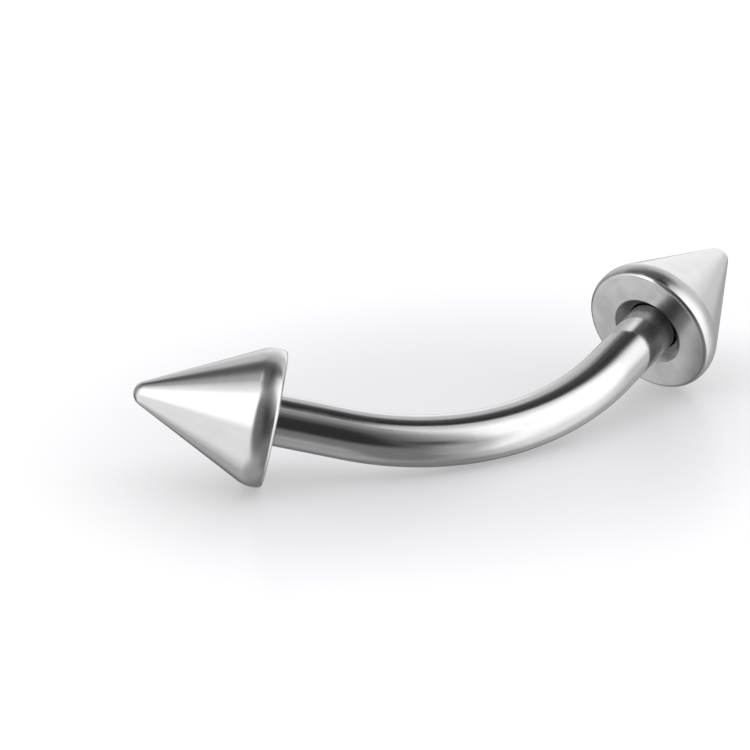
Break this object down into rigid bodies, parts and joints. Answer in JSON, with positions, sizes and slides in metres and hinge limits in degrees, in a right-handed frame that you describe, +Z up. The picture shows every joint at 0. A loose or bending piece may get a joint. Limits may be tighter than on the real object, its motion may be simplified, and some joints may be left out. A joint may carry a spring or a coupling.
{
  "type": "curved eyebrow barbell",
  "caption": "Bent polished steel bar with threaded ends and a pointed steel cone screwed on each end, worn through a piercing.",
  "frame": {"origin": "middle of the barbell's footprint, on the surface that it rests on", "axes": "+X from the left cone to the right cone, +Y towards the open side of the bend, +Z up from the resting surface"},
  "size_m": [0.0152, 0.0038, 0.0031],
  "materials": {
    "bar_steel": "mirror-polished stainless steel, plain metal with no plating",
    "left_cone_steel": "mirror-polished stainless steel, flat back faintly turned",
    "right_cone_steel": "mirror-polished stainless steel, flat back faintly turned"
  },
  "bodies": {
    "bar": {"bar": "bar_steel"},
    "left_cone": {"left_cone": "left_cone_steel"},
    "right_cone": {"right_cone": "right_cone_steel"}
  },
  "joints": [
    {"name": "left_cone_unscrew", "type": "slide", "parent": "bar", "child": "left_cone", "axis": [-0.8536, 0.4503, 0.2621], "range_m": [0, 0.0024]},
    {"name": "right_cone_unscrew", "type": "slide", "parent": "bar", "child": "right_cone", "axis": [0.8536, 0.4503, 0.2621], "range_m": [0, 0.0024]}
  ]
}
